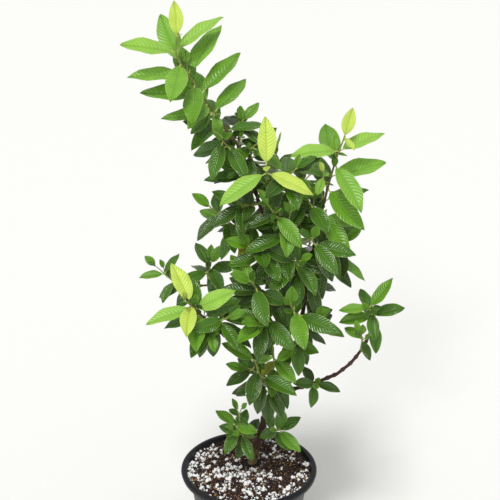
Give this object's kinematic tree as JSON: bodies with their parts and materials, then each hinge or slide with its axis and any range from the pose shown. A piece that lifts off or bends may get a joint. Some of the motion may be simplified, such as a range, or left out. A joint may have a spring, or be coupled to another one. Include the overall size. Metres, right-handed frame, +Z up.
{
  "type": "potted guava shrub",
  "caption": "Young guava shrub with glossy veined leaves on two leaning leaders and an arching side bough, in a plain black nursery pot of potting mix.",
  "frame": {"origin": "centre of the flat underside of the pot, on the surface it stands on", "axes": "+Z up; -Y towards the side the plant is seen from, +X to the right from there"},
  "size_m": [0.3764, 0.2874, 0.8272],
  "materials": {
    "leaf": "glossy, veined leaf, lime green on young shoots",
    "bark": "thin flaking red-brown bark",
    "pot": "moulded black plastic, satin",
    "potting_mix": "dark bark and peat mix with white perlite"
  },
  "bodies": {
    "root": {"arch_lower": "bark", "arch_upper": "bark", "bough_back": "bark", "bough_back_high": "bark", "bough_crown": "bark", "bough_far_left": "bark", "bough_left": "bark", "leader_left": "bark", "leader_right": "bark", "mass_arch_mid": "leaf", "mass_arch_tip": "leaf", "mass_arch_twig": "leaf", "mass_back": "leaf", "mass_back_high": "leaf", "mass_crown": "leaf", "mass_far_left": "leaf", "mass_front": "leaf", "mass_inner": "leaf", "mass_left": "leaf", "mass_low_front": "leaf", "mass_low_left": "leaf", "mass_low_right": "leaf", "mass_middle": "leaf", "mass_plume": "leaf", "mass_right": "leaf", "mass_upper_left": "leaf", "pot": "pot", "soil": "potting_mix", "trunk": "bark"}
  },
  "joints": []
}
